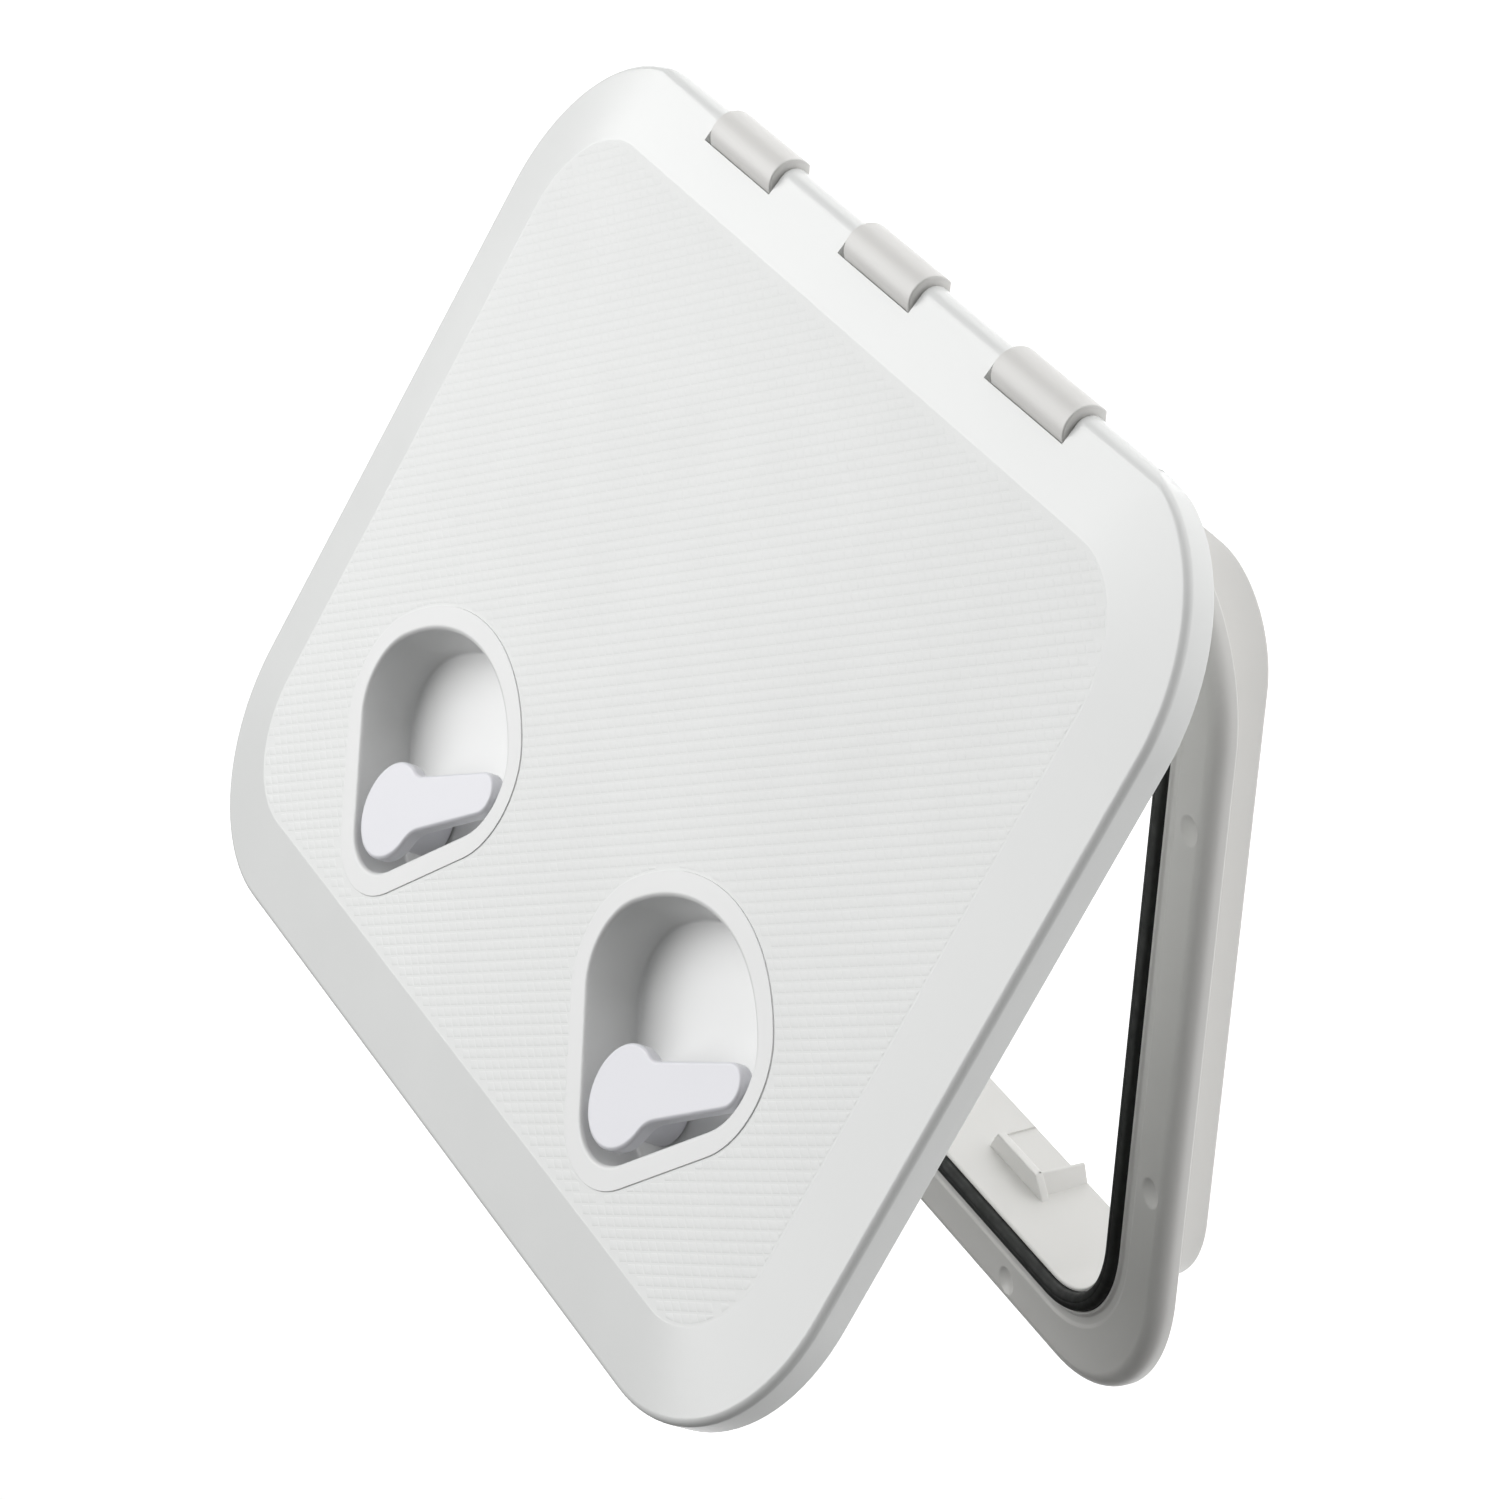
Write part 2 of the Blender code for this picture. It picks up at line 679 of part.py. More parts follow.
def make_cam(side, place):
    """The tongue lies along -X while the lever is at rest. Its nose meets the stop fin."""
    side_deg = math.degrees(math.asin(CAM_HALF_W / CAM_HUB_R))
    corner_r, nose_r = 2.0, 1.8
    outline = (
        arc(0, 0, CAM_HUB_R, -105, 180 - side_deg, 18)
        + arc(corner_r - CAM_REACH, CAM_HALF_W - corner_r, corner_r, 90, 180, 5)
        + [(-CAM_REACH, -5.0)]
        + arc(-13.9, nose_r - CAM_NOSE, nose_r, 200, 270, 4)
    )
    rings = [flat_ring(outline, z) for z in CAM_Z]
    cam = make_object(f"cam_{side}", *loft(rings), place, "latch_nylon")
    half = SOCKET_SQUARE
    hole = box((-half, -half, CAM_Z[0] - 2), (half, half, CAM_Z[1] + 2))
    boolean(cam, make_object(f"cam_hole_cutter_{side}", *hole, place), "DIFFERENCE")


def make_cam_screw(side, place):
    head_z = CAM_WASHER_Z[0] - 0.1
    rings = [
        circle_ring(2.6, head_z - 2.4, 16),
        circle_ring(3.8, head_z - 1.5, 16),
        circle_ring(4.0, head_z, 16),
        circle_ring(1.4, head_z, 16),
        circle_ring(1.4, -4.8, 16),
        circle_ring(0.7, -4.2, 16),
    ]
    make_object(f"cam_screw_{side}", *loft(rings), place, "stainless")


def make_latch(side, pivot_x, hinge):
    place = (hinge, (pivot_x, PIVOT_Y - HINGE_Y, -HINGE_Z))
    make_housing(side, place)
    make_housing_screws(side, hinge, pivot_x)
    pivot = make_empty(f"handle_{side}_pivot", (pivot_x, PIVOT_Y - HINGE_Y, -HINGE_Z), hinge)
    turning = (pivot, (0, 0, 0))
    make_handle(side, turning)
    make_spindle(side, turning)
    make_o_ring(side, turning)
    make_washer(f"wear_washer_{side}", 6.3, 9.2, *WEAR_WASHER_Z, turning, "latch_nylon")
    make_cam(side, turning)
    make_washer(f"cam_washer_{side}", 1.8, 7.0, *CAM_WASHER_Z, turning, "stainless")
    make_cam_screw(side, turning)


clear_scene()
PARTS = new_collection("deck_hatch")
CUTTERS = new_collection("cutters")
make_frame()
make_gasket()
HINGE = make_empty("lid_hinge", (0, HINGE_Y, HINGE_Z))
HINGE.rotation_euler = (-math.radians(OPEN_DEG), 0, 0)
make_lid(HINGE)
make_latch("left", -PIVOT_X, HINGE)
make_latch("right", PIVOT_X, HINGE)
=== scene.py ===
"""Deck hatch with its lid standing open: visual pieces, materials, light and camera.

Shapes are drawn in millimetres as if the lid were shut, X along the hinge, Z up.
finish_piece then moves each to its place: LID_MATRIX opens the lid, latch_matrix also shifts
to the lever's pivot, and pieces of the frame stay where they are.
"""

import json
import math

import bmesh
import bpy
from mathutils import Matrix, Vector


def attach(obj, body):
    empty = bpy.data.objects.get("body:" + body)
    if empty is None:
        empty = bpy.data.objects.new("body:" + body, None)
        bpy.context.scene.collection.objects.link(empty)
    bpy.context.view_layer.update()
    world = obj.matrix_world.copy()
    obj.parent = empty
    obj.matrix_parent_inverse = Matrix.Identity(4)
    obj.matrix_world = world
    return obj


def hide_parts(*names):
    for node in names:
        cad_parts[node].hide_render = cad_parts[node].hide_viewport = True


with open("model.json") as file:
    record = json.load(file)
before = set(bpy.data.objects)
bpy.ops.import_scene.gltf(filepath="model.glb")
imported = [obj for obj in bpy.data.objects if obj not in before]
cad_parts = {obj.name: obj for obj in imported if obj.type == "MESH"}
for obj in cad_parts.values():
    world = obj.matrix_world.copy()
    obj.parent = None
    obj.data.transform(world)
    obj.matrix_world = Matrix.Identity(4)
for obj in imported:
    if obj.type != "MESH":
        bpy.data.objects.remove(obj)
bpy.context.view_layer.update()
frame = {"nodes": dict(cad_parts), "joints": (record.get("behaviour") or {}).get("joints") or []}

MM = 0.001
JOINTS = {joint["name"]: joint for joint in frame["joints"]}

# Lid
LID_HALF_X = 187.5
LID_HALF_Y = 135.0
LID_CORNER_R = 56.0
PANEL_Z = 12.8
BORDER_W = 24.0
BORDER_DROP = 3.6
EDGE_R = 2.3
SKIRT_BOTTOM_Z = 0.6
SKIRT_T = 2.5
PLATE_UNDER_Z = 9.8
UNDER_FLAT_IN = 22.3
UNDER_SLOPE_Z = 6.4
SEAL_RIB_Z = 8.7

# Hinge
HINGE_Y = 1000 * JOINTS["lid_hinge"]["pos_m"][1]
HINGE_Z = 1000 * JOINTS["lid_hinge"]["pos_m"][2]
OPEN_DEG = -JOINTS["lid_hinge"]["range_deg"][0]
BEAD_R = 4.64
BEAD_COVER = 0.04
BEAD_HALF_X = 136.0
BAR_R = 3.4
SLOT_R = 7.5
SLOT_W = 41.4
SLOT_PITCH = 83.4
HOOK_OUTER_R = 7.0
HOOK_INNER_R = 3.7
HOOK_W = 38.0
HOOK_SHIFT = 1.0
HOOK_ROOT_Y = 119.0

# Non-slip panel: diamonds between two sets of grooves
DIAMOND_X = 5.75
DIAMOND_Y = 3.495
GROOVE_HALF_W = (0.18, 0.1)
TREAD_CHAMFER = (0.38, 0.22)
TREAD_FLOOR_Z = 12.76
TREAD_TOP_Z = 12.85
TREAD_MARGIN = 0.5

# Deck frame
FLANGE_HALF_X = 177.9
FLANGE_FRONT_Y = -125.4
FLANGE_BACK_Y = 124.0
FLANGE_CORNER_R = 46.5
FLANGE_TOP_Z = 6.3
FLANGE_EDGE_R = 4.5
SPIGOT_HALF_X = 154.9
SPIGOT_FRONT_Y = -102.4
SPIGOT_BACK_Y = 107.5
SPIGOT_CORNER_R = 28.0
SPIGOT_BOTTOM_Z = -21.9
SPIGOT_WALL = 3.7
DIMPLE_DEPTH = 1.3
DIMPLES = [(side * 169.9, y, 4.3) for side in (-1, 1) for y in (-49.5, 54.3)]
DIMPLES += [(x, -118.0, 4.3) for x in (-103.5, 0.0, 103.5)]
DIMPLES += [(x, 118.6, 3.0) for x in (-41.7, 41.7)]
SEAL_HALF_X = 154.05
SEAL_FRONT_Y = -101.55
SEAL_BACK_Y = 106.65
SEAL_CORNER_R = 27.0
GASKET_W = 4.9
GASKET_TOP_Z = 8.4
GASKET_BOTTOM_Z = 4.75
GROOVE_FLOOR_Z = 4.6

# Strikers: a shelf, a stop fin and a shallow relief. Values of x count from the latch's pivot.
STRIKER_ROOT_Y = -101.2
STRIKER_REACH_Y = -94.0
SHELF_ROOT_X = (-13.8, 18.7)
SHELF_EDGE_X = (-9.6, 12.6)
SHELF_Z = (-8.8, -6.3)
FIN_ROOT_X = (10.9, 15.8)
FIN_EDGE_X = (11.2, 12.5)
FIN_Z = (-21.7, -7.5)
RELIEF_X = (-15.4, 14.6)
RELIEF_DEPTH = 0.5
WALL_LEAN = 0.0657

# Latches
RIM_PROUD = 0.3
RIM_W = 7.0
RIM_FILLET_R = 1.4
CUP_FLOOR_Z = -2.7
CUP_UNDER_Z = -4.7
POCKET_Z = 11.3
GUIDE_R = 9.5
GUIDE_BORE_R = 6.3
GUIDE_END_Z = -7.3
HOLE_CLEARANCE = 1.9
POCKET_CLEARANCE = 0.03
LEVER_TOP_Z = 14.0
LEVER_T = 4.0
BOSS_R = 14.2
TIP_X = 36.2
TIP_Y = 24.9
TIP_R = 6.2
HUB_R = 9.5
HUB_END_Z = -2.1
O_RING_Z = -4.9
WEAR_WASHER_Z = (-8.8, -7.6)
CAM_WASHER_Z = (-13.3, -12.3)
CAM_Z = (-12.1, -9.0)
CAM_REACH = 18.0
CAM_HALF_W = 6.0
CAM_NOSE = 11.0
CAM_HUB_R = 8.6
CAM_SOCKET = 4.2
HOUSING_SCREWS = ((-27.8, -3.8), (27.8, -3.8), (-33.9, 46.8), (33.9, 46.8))

# Ribs under the lid
RIB_T = 2.0
RIB_BOTTOM_Z = 2.8
LONG_RIB_Y = (-8.0, 32.0, 72.0)
LONG_RIB_HALF_X = 146.0
CROSS_RIB_X = (-109.5, -36.5, 36.5, 109.5)
CROSS_RIB_Y = (-8.0, 98.0)

# Camera: where it looks from, as seen from the point it aims at
CAMERA_AIM = (18.85, 7.2, 49.16)
CAMERA_AZIMUTH_DEG = 30.97
CAMERA_ELEVATION_DEG = 23.39
CAMERA_DISTANCE = 1367.4
CAMERA_ROLL_DEG = 99.94
CAMERA_LENS = 124.22

# Stage. A light is its side (m), power (W), azimuth, elevation (degrees) and distance (m).
FLOOR_HALF_M = 6.0
FLOOR_Z_M = -0.6
FLOOR_GLOW = 0.78
SKY_STRENGTH = 0.03
KEY_LIGHT = (3.2, 112.0, 153.0, 49.0, 3.0)
FILL_LIGHT = (2.0, 7.0, 30.0, 9.0, 2.6)

CORNER_STEPS = 24
LID_MATRIX = (
    Matrix.Translation((0, HINGE_Y * MM, HINGE_Z * MM))
    @ Matrix.Rotation(-math.radians(OPEN_DEG), 4, "X")
    @ Matrix.Translation((0, -HINGE_Y * MM, -HINGE_Z * MM))
)


def latch_pivot(side):
    """The lever's pivot in millimetres, as if the lid were shut."""
    rest = Vector(JOINTS[f"handle_{side}_turn"]["pos_m"])
    shut = LID_MATRIX.inverted() @ rest
    return shut.x / MM, shut.y / MM


# ---------------------------------------------------------------- outlines


def arc(centre_x, centre_y, radius, start_deg, end_deg, steps):
    found = []
    for step in range(steps + 1):
        angle = math.radians(start_deg + (end_deg - start_deg) * step / steps)
        found.append((centre_x + radius * math.cos(angle), centre_y + radius * math.sin(angle)))
    return found


def circle(centre_x, centre_y, radius, steps):
    return arc(centre_x, centre_y, radius, 0, 360, steps)[:-1]


def rounded_rect(half_x, front_y, back_y, radius):
    corners = (
        (half_x - radius, back_y - radius, 0),
        (radius - half_x, back_y - radius, 90),
        (radius - half_x, front_y + radius, 180),
        (half_x - radius, front_y + radius, 270),
    )
    found = []
    for corner_x, corner_y, start in corners:
        found += arc(corner_x, corner_y, radius, start, start + 90, CORNER_STEPS)
    return found


def level(outline, z):
    return [(x, y, z) for x, y in outline]


def lid_ring(inset, z):
    return level(
        rounded_rect(
            LID_HALF_X - inset,
            inset - LID_HALF_Y,
            LID_HALF_Y - inset,
            LID_CORNER_R - inset,
        ),
        z,
    )


def seal_ring(outset, z):
    """A ring that follows the gasket: outset 0 is the gasket's inner side."""
    return level(
        rounded_rect(
            SEAL_HALF_X + outset,
            SEAL_FRONT_Y - outset,
            SEAL_BACK_Y + outset,
            SEAL_CORNER_R + outset,
        ),
        z,
    )


def flange_ring(inset, z):
    return level(
        rounded_rect(
            FLANGE_HALF_X - inset,
            FLANGE_FRONT_Y + inset,
            FLANGE_BACK_Y - inset,
            FLANGE_CORNER_R - inset,
        ),
        z,
    )


def spigot_ring(inset, z):
    return level(
        rounded_rect(
            SPIGOT_HALF_X - inset,
            SPIGOT_FRONT_Y + inset,
            SPIGOT_BACK_Y - inset,
            SPIGOT_CORNER_R - inset,
        ),
        z,
    )


def recess_outline(offset):
    """The rounded quarter disc of a latch recess around its pivot, grown by offset."""
    side_x, side_y, side_r = 24.9, 25.2, 17.9
    apex_r = 17.7
    top_y, top_r = -1.4, 54.3
    side_deg = 46.9
    tangent_deg = 45.0
    return (
        arc(side_x, side_y, side_r + offset, -tangent_deg, side_deg, 24)
        + arc(0, top_y, top_r + offset, side_deg, 180 - side_deg, 44)[1:-1]
        + arc(-side_x, side_y, side_r + offset, 180 - side_deg, 180 + tangent_deg, 24)
        + arc(0, 0, apex_r + offset, 180 + tangent_deg, 360 - tangent_deg, 24)
    )


def lever_outline(inset):
    """The lever seen from above, shrunk by inset: boss, neck, tip and straight upper edge."""
    neck_x, neck_y, neck_r = 22.74, -4.59, 9.0
    crook_x, crook_y, crook_r = 3.39, 19.91, 6.0
    return (
        arc(0, 0, BOSS_R - inset, 80.3, 348.6, 60)
        + arc(neck_x, neck_y, neck_r + inset, 168.6, 127.5, 14)[1:]
        + arc(TIP_X, TIP_Y, TIP_R - inset, -52.5, 120.2, 32)
        + arc(crook_x, crook_y, crook_r + inset, -59.8, -99.7, 12)
    )


def softened(low, high, radius):
    """(z, inset) pairs for a plate whose two rims are rounded a little."""
    return (
        (low, radius),
        (low + 0.3 * radius, 0.3 * radius),
        (low + radius, 0.0),
        (high - radius, 0.0),
        (high - 0.3 * radius, 0.3 * radius),
        (high, radius),
    )


# ---------------------------------------------------------------- mesh helpers


def loft(rings, closed=False):
    """Joins rings with equal point counts. Open lofts get flat end caps."""
    count = len(rings[0])
    points = [point for one in rings for point in one]
    faces = []
    last = len(rings) if closed else len(rings) - 1
    for row in range(last):
        low = row * count
        high = (row + 1) % len(rings) * count
        for step in range(count):
            beside = (step + 1) % count
            faces.append((low + step, low + beside, high + beside, high + step))
    if not closed:
        faces.append(tuple(reversed(range(count))))
        faces.append(tuple(range(len(points) - count, len(points))))
    return points, faces


def lathe(profile, steps=40, centre=(0, 0), closed=False):
    """Turns (radius, z) points about a vertical axis."""
    rings = [level(circle(centre[0], centre[1], radius, steps), z) for radius, z in profile]
    return loft(rings, closed)


def along_x(outlines):
    """Lofts (x, outline of (y, z)) sections along X."""
    return loft([[(x, y, z) for y, z in outline] for x, outline in outlines])


def box(low, high):
    outline = ((low[1], low[2]), (high[1], low[2]), (high[1], high[2]), (low[1], high[2]))
    return along_x(((low[0], outline), (high[0], outline)))


def joined(shapes):
    points, faces = [], []
    for shape_points, shape_faces in shapes:
        start = len(points)
        points += shape_points
        faces += [tuple(index + start for index in face) for face in shape_faces]
    return points, faces


def mesh_from(name, shape):
    points, faces = shape
    mesh = bpy.data.meshes.new(name)
    mesh.from_pydata([[value * MM for value in point] for point in points], [], faces)
    work = bmesh.new()
    work.from_mesh(mesh)
    bmesh.ops.recalc_face_normals(work, faces=work.faces)
    if work.calc_volume(signed=True) < 0:
        bmesh.ops.reverse_faces(work, faces=work.faces)
    work.to_mesh(mesh)
    work.free()
    return mesh


def solid(name, shape, steps=()):
    """A mesh object after its Boolean steps: (operation, shape) pairs."""
    obj = bpy.data.objects.new(name, mesh_from(name, shape))
    bpy.context.scene.collection.objects.link(obj)
    helpers = []
    for operation, other_shape in steps:
        helper = bpy.data.objects.new(name + "_helper", mesh_from(name + "_helper", other_shape))
        bpy.context.scene.collection.objects.link(helper)
        modifier = obj.modifiers.new(operation, "BOOLEAN")
        modifier.operation = operation
        modifier.solver = "EXACT"
        modifier.object = helper
        helpers.append(helper)
    if helpers:
        bpy.context.view_layer.update()
        graph = bpy.context.evaluated_depsgraph_get()
        result = bpy.data.meshes.new_from_object(obj.evaluated_get(graph))
        obj.modifiers.clear()
        obj.data = result
        for helper in helpers:
            bpy.data.objects.remove(helper, do_unlink=True)
    return obj


def add_shape(obj, shape):
    """Adds a closed shape to obj's mesh. The two may overlap."""
    work = bmesh.new()
    work.from_mesh(obj.data)
    extra = mesh_from("extra", shape)
    work.from_mesh(extra)
    work.to_mesh(obj.data)
    work.free()
    bpy.data.meshes.remove(extra)


def finish_piece(obj, matrix, body, materials, replaced, sharp_deg=40):
    """Places, shades, paints and hangs a piece in the model, in place of the named CAD nodes."""
    mesh = obj.data
    mesh.transform(matrix)
    mesh.materials.clear()
    for material in materials:
        mesh.materials.append(material)
    mesh.shade_smooth()
    mesh.set_sharp_from_angle(angle=math.radians(sharp_deg))
    weighted = obj.modifiers.new("face_weighted_normals", "WEIGHTED_NORMAL")
    weighted.keep_sharp = True
    weighted.weight = 60
    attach(obj, body)
    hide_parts(*replaced)


# ---------------------------------------------------------------- materials


def new_material(name, colour, roughness, metallic=0.0):
    material = bpy.data.materials.new(name)
    material.use_nodes = True
    shader = material.node_tree.nodes["Principled BSDF"]
    shader.inputs["Base Color"].default_value = (*colour, 1.0)
    shader.inputs["Roughness"].default_value = roughness
    shader.inputs["Metallic"].default_value = metallic
    return material, material.node_tree, shader


def noise(tree, scale, detail=3.0, roughness=0.5, stretch=None):
    """A noise texture in object space, optionally stretched along one axis."""
    coordinates = tree.nodes.new("ShaderNodeTexCoord")
    texture = tree.nodes.new("ShaderNodeTexNoise")
    texture.inputs["Scale"].default_value = scale
    texture.inputs["Detail"].default_value = detail
    texture.inputs["Roughness"].default_value = roughness
    source = coordinates.outputs["Object"]
    if stretch:
        mapping = tree.nodes.new("ShaderNodeMapping")
        mapping.inputs["Scale"].default_value = stretch
        tree.links.new(source, mapping.inputs["Vector"])
        source = mapping.outputs["Vector"]
    tree.links.new(source, texture.inputs["Vector"])
    return texture.outputs["Fac"]


def spread(tree, source, low, high):
    """Maps a noise value around the middle onto low..high."""
    ramp = tree.nodes.new("ShaderNodeMapRange")
    ramp.inputs["From Min"].default_value = 0.3
    ramp.inputs["From Max"].default_value = 0.7
    ramp.inputs["To Min"].default_value = low
    ramp.inputs["To Max"].default_value = high
    tree.links.new(source, ramp.inputs["Value"])
    return ramp.outputs["Result"]


def tint(tree, shader, source, dark, light):
    """Lets the base colour drift between two close colours."""
    mix = tree.nodes.new("ShaderNodeMix")
    mix.data_type = "RGBA"
    mix.inputs["A"].default_value = (*dark, 1.0)
    mix.inputs["B"].default_value = (*light, 1.0)
    tree.links.new(spread(tree, source, 0.0, 1.0), mix.inputs["Factor"])
    tree.links.new(mix.outputs["Result"], shader.inputs["Base Color"])


def bump(tree, shader, source, distance, strength, under=None):
    node = tree.nodes.new("ShaderNodeBump")
    node.inputs["Distance"].default_value = distance
    node.inputs["Strength"].default_value = strength
    tree.links.new(source, node.inputs["Height"])
    if under:
        tree.links.new(under.outputs["Normal"], node.inputs["Normal"])
    tree.links.new(node.outputs["Normal"], shader.inputs["Normal"])
    return node


def moulded(name, colour, roughness, grain, waviness=0.00015):
    """Moulded plastic: slow sink waviness, fine grain, and a slightly uneven gloss."""
    drift = 0.012
    material, tree, shader = new_material(name, colour, roughness)
    dark = [value * (1 - drift) for value in colour]
    light = [min(1.0, value * (1 + drift)) for value in colour]
    tint(tree, shader, noise(tree, 14.0, 4.0), dark, light)
    gloss = noise(tree, 55.0, 2.0, 0.4)
    uneven = spread(tree, gloss, roughness * 0.96, roughness * 1.05)
    tree.links.new(uneven, shader.inputs["Roughness"])
    waves = bump(tree, shader, noise(tree, 30.0, 2.0), waviness, 0.15)
    bump(tree, shader, noise(tree, 2600.0, 4.0, 0.65), 0.00004, grain, waves)
    return material


def rubber_material():
    material, tree, shader = new_material("gasket rubber", (0.012, 0.014, 0.012), 0.55)
    tint(tree, shader, noise(tree, 60.0, 5.0), (0.008, 0.009, 0.008), (0.02, 0.023, 0.02))
    tree.links.new(spread(tree, noise(tree, 300.0, 4.0), 0.45, 0.7), shader.inputs["Roughness"])
    bump(tree, shader, noise(tree, 1800.0, 5.0, 0.7), 0.00006, 0.6)
    return material


def steel_material():
    material, tree, shader = new_material("stainless steel", (0.55, 0.55, 0.56), 0.28, 1.0)
    tint(tree, shader, noise(tree, 120.0, 4.0), (0.48, 0.48, 0.49), (0.62, 0.62, 0.63))
    marks = noise(tree, 500.0, 4.0, 0.6, stretch=(1.0, 1.0, 9.0))
    tree.links.new(spread(tree, marks, 0.2, 0.38), shader.inputs["Roughness"])
    bump(tree, shader, marks, 0.00003, 0.5)
    return material


LID_GLOSS = moulded("lid gloss plastic", (0.83, 0.84, 0.83), 0.22, grain=0.15)
LID_TREAD = moulded("lid tread plastic", (0.80, 0.81, 0.80), 0.42, grain=0.6)
HOUSING = moulded("housing plastic", (0.80, 0.805, 0.80), 0.36, grain=0.05)
FRAME = moulded("frame plastic", (0.74, 0.733, 0.712), 0.38, grain=0.05, waviness=0.00006)
LEVER = moulded("lever plastic", (0.79, 0.79, 0.83), 0.34, grain=0.05)
RUBBER = rubber_material()
STEEL = steel_material()


# ---------------------------------------------------------------- deck frame


def dimple_cutter(centre_x, centre_y, radius):
    sphere_r = (radius * radius + DIMPLE_DEPTH * DIMPLE_DEPTH) / (2 * DIMPLE_DEPTH)
    centre_z = FLANGE_TOP_Z - DIMPLE_DEPTH + sphere_r
    profile = []
    for share in (0.05, 0.25, 0.45, 0.65, 0.85, 1.0, 1.15):
        reach = radius * share
        profile.append((reach, centre_z - math.sqrt(sphere_r * sphere_r - reach * reach)))
    profile.append((radius * 1.15, FLANGE_TOP_Z + 3))
    return lathe(profile, 32, (centre_x, centre_y))


def hook_outline(inset):
    outer = HOOK_OUTER_R - inset
    inner = HOOK_INNER_R + inset
    start = -math.degrees(math.asin(min(1.0, (HINGE_Z - inset) / outer)))
    return (
        [(HOOK_ROOT_Y, inset)]
        + arc(HINGE_Y, HINGE_Z, outer, start, 180 - 4 * inset, 48)
        + arc(HINGE_Y, HINGE_Z, inner, 180 - 4 * inset, -90, 40)
        + [(HOOK_ROOT_Y, HINGE_Z - inner)]
    )


def make_frame():
    gap = 0.15
    rings = [
        spigot_ring(SPIGOT_WALL, SPIGOT_BOTTOM_Z + 0.4),
        spigot_ring(1.95, 5.2),
        spigot_ring(1.85, 5.75),
        spigot_ring(1.6, 6.05),
        spigot_ring(1.35, 6.1),
        seal_ring(-gap, 5.9),
        seal_ring(-gap, GROOVE_FLOOR_Z),
        seal_ring(GASKET_W + gap, GROOVE_FLOOR_Z),
        seal_ring(GASKET_W + gap, 6.45),
        seal_ring(GASKET_W + 0.3, 6.62),
        seal_ring(GASKET_W + 0.6, 6.7),
        seal_ring(GASKET_W + 0.9, 6.65),
        seal_ring(GASKET_W + 1.2, 6.4),
        seal_ring(GASKET_W + 1.5, 6.0),
        seal_ring(GASKET_W + 1.9, 5.86),
        seal_ring(GASKET_W + 3.3, 5.86),
        seal_ring(GASKET_W + 3.8, 5.98),
        seal_ring(GASKET_W + 4.4, 6.26),
        seal_ring(GASKET_W + 4.8, FLANGE_TOP_Z),
    ]
    for step in range(11):
        angle = math.radians(90 - 9 * step)
        inset = FLANGE_EDGE_R * (1 - math.cos(angle))
        rings.append(flange_ring(inset, FLANGE_TOP_Z - FLANGE_EDGE_R * (1 - math.sin(angle))))
    rings += [
        flange_ring(0.0, 0.4),
        flange_ring(0.12, 0.12),
        flange_ring(0.4, 0.0),
        spigot_ring(-0.6, 0.0),
        spigot_ring(-0.17, -0.17),
        spigot_ring(0.0, -0.6),
        spigot_ring(0.0, SPIGOT_BOTTOM_Z + 0.8),
        spigot_ring(0.24, SPIGOT_BOTTOM_Z + 0.24),
        spigot_ring(0.8, SPIGOT_BOTTOM_Z),
        spigot_ring(SPIGOT_WALL - 0.4, SPIGOT_BOTTOM_Z),
    ]
    cutters = joined([dimple_cutter(x, y, radius) for x, y, radius in DIMPLES])
    reliefs = joined([relief_cutter(latch_pivot(side)[0]) for side in ("left", "right")])
    steps = [("DIFFERENCE", cutters), ("DIFFERENCE", reliefs)]
    obj = solid("deck_frame_moulding", loft(rings, closed=True), steps)

    for centre in (-SLOT_PITCH, 0.0, SLOT_PITCH):
        low = centre + HOOK_SHIFT - HOOK_W / 2
        high = low + HOOK_W
        sections = []
        for x, inset in ((low, 0.5), (low + 0.15, 0.15), (low + 0.5, 0.0)):
            sections.append((x, hook_outline(inset)))
        for x, inset in ((high - 0.5, 0.0), (high - 0.15, 0.15), (high, 0.5)):
            sections.append((x, hook_outline(inset)))
        add_shape(obj, along_x(sections))

    for side in ("left", "right"):
        pivot = latch_pivot(side)[0]
        add_shape(obj, striker_plate(pivot, SHELF_ROOT_X, SHELF_EDGE_X, SHELF_Z))
        add_shape(obj, striker_plate(pivot, FIN_ROOT_X, FIN_EDGE_X, FIN_Z))
    identity = Matrix.Identity(4)
    finish_piece(obj, identity, "frame", [FRAME], ["deck_frame"], 50)


def relief_cutter(pivot):
    """Takes a shallow relief out of the leaning wall, from under the shelf down to the edge."""
    wall_y = SPIGOT_FRONT_Y + SPIGOT_WALL
    low_z = SPIGOT_BOTTOM_Z - 1.0
    low_y = wall_y - RELIEF_DEPTH + WALL_LEAN
    high_y = wall_y - RELIEF_DEPTH - WALL_LEAN * (SHELF_Z[0] - SPIGOT_BOTTOM_Z)
    clear_y = wall_y + 3.0
    top_z = SHELF_Z[0]
    outline = ((low_y, low_z), (clear_y, low_z), (clear_y, top_z), (high_y, top_z))
    return along_x(((pivot + RELIEF_X[0], outline), (pivot + RELIEF_X[1], outline)))


